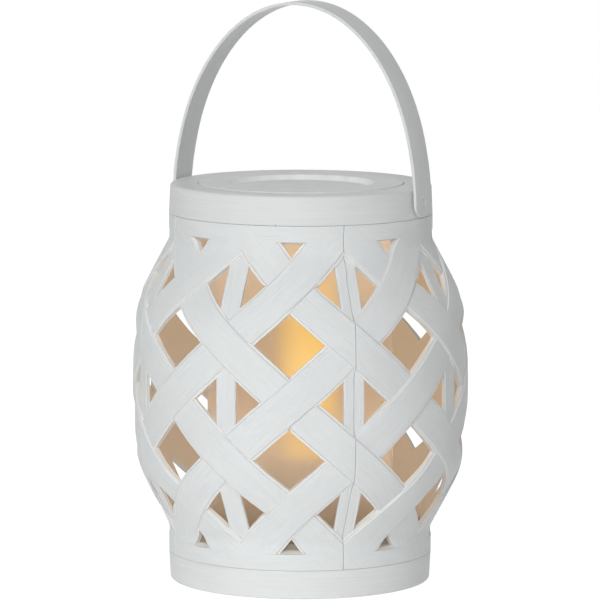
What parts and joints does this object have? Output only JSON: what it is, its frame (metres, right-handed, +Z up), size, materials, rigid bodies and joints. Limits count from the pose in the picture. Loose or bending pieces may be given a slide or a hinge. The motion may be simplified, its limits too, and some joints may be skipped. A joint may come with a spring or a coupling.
{
  "type": "battery lantern",
  "caption": "Barrel-shaped battery lantern with a woven-look white lattice, a frosted glowing tube, a dished lid and an arched strap handle.",
  "frame": {"origin": "centre of the resting plane, under the lantern's axis", "axes": "+Z up along the axis; the handle's studs lie on X; the front panel faces -Y"},
  "size_m": [0.134, 0.134, 0.2322],
  "materials": {
    "lattice_white": "moulded with a fine lengthwise grain",
    "base_white": "satin, faint grain round the ring",
    "collar_white": "satin, faint grain round the ring",
    "lid_white": "satin",
    "handle_white": "satin, faint grain along the strap",
    "inner_moulding": "plain moulded",
    "steel": "plated",
    "contact_metal": "nickel plated spring steel",
    "cell_jacket": "plain shrink jacket",
    "lead_sleeve": "flexible sleeve",
    "board_green": "solder resist",
    "black_plastic": "plain moulded",
    "light_sheet": "flexible circuit sheet",
    "light_chip": "emissive, warm flame colour",
    "cover_frost": "frosted, lit from inside",
    "tube_frost": "frosted, lit from inside"
  },
  "bodies": {
    "lantern": {"base_tray": "base_white", "battery_box": "inner_moulding", "battery_1": "cell_jacket", "battery_2": "cell_jacket", "battery_3": "cell_jacket", "contact_plates": "contact_metal", "contact_springs": "contact_metal", "battery_leads": "lead_sleeve", "control_board": "board_green", "board_chip": "black_plastic", "board_screws": "steel", "switch_body": "black_plastic", "lamp_deck": "inner_moulding", "deck_screws": "steel", "lead_wires": "lead_sleeve", "lamp_holder": "black_plastic", "led_core": "black_plastic", "led_sheet": "light_sheet", "led_chips": "light_chip", "flame_cover": "cover_frost", "diffuser_tube": "tube_frost", "lattice_panel_front": "lattice_white", "lattice_panel_right": "lattice_white", "lattice_panel_back": "lattice_white", "lattice_panel_left": "lattice_white", "top_collar": "collar_white", "stud_right": "handle_white", "stud_left": "handle_white"},
    "handle": {"handle": "handle_white"},
    "lid": {"lid": "lid_white"},
    "battery_door": {"battery_door": "base_white"},
    "door_screw": {"door_screw": "steel"},
    "switch_knob": {"switch_knob": "black_plastic"}
  },
  "joints": [
    {"name": "handle_swing", "type": "hinge", "parent": "lantern", "child": "handle", "pos_m": [0, 0, 0.154], "axis": [1, 0, 0], "range_deg": [-112, 112]},
    {"name": "lid_lift", "type": "slide", "parent": "lantern", "child": "lid", "axis": [0, 0, 1], "range_m": [0, 0.025]},
    {"name": "door_swing", "type": "hinge", "parent": "lantern", "child": "battery_door", "pos_m": [0, -0.0306, 0.0012], "axis": [-1, 0, 0], "range_deg": [0, 80]},
    {"name": "screw_turn", "type": "hinge", "parent": "battery_door", "child": "door_screw", "pos_m": [0, 0.0194, 0.0012], "axis": [0, 0, -1], "range_deg": [0, 720]},
    {"name": "switch_slide", "type": "slide", "parent": "lantern", "child": "switch_knob", "axis": [1, 0, 0], "range_m": [-0.002, 0.002]}
  ]
}
